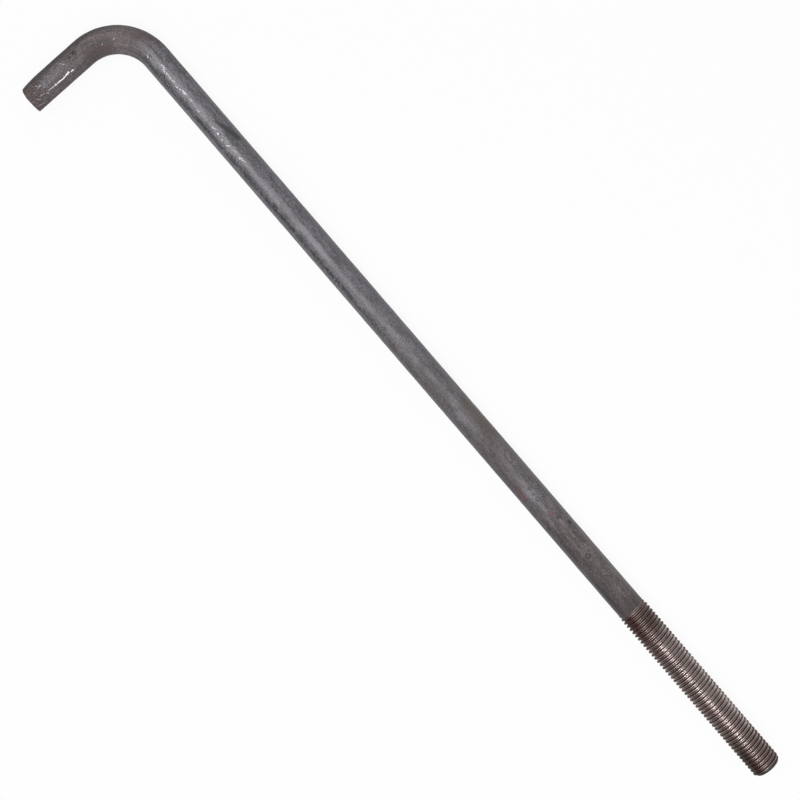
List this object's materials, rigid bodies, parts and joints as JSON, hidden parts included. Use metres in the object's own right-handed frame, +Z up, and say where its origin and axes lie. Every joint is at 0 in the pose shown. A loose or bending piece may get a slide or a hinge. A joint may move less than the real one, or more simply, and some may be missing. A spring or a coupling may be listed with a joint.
{
  "type": "l-shaped anchor bolt",
  "caption": "Round steel anchor bolt bent to an L, with a short hook to cast into concrete and a long rolled thread that holds down a base plate.",
  "frame": {"origin": "on the ground under the middle of the bolt's outline, with the bolt lying flat", "axes": "+X along the shank and out of the threaded end, -Y along the hook towards its tip, +Z up from the ground"},
  "size_m": [0.6096, 0.0856, 0.019],
  "materials": {
    "plain_steel": "plain hot-rolled steel with dark mill scale, lightly rusted in the thread and at the hook's tip"
  },
  "bodies": {
    "root": {"anchor_bolt": "plain_steel"}
  },
  "joints": []
}
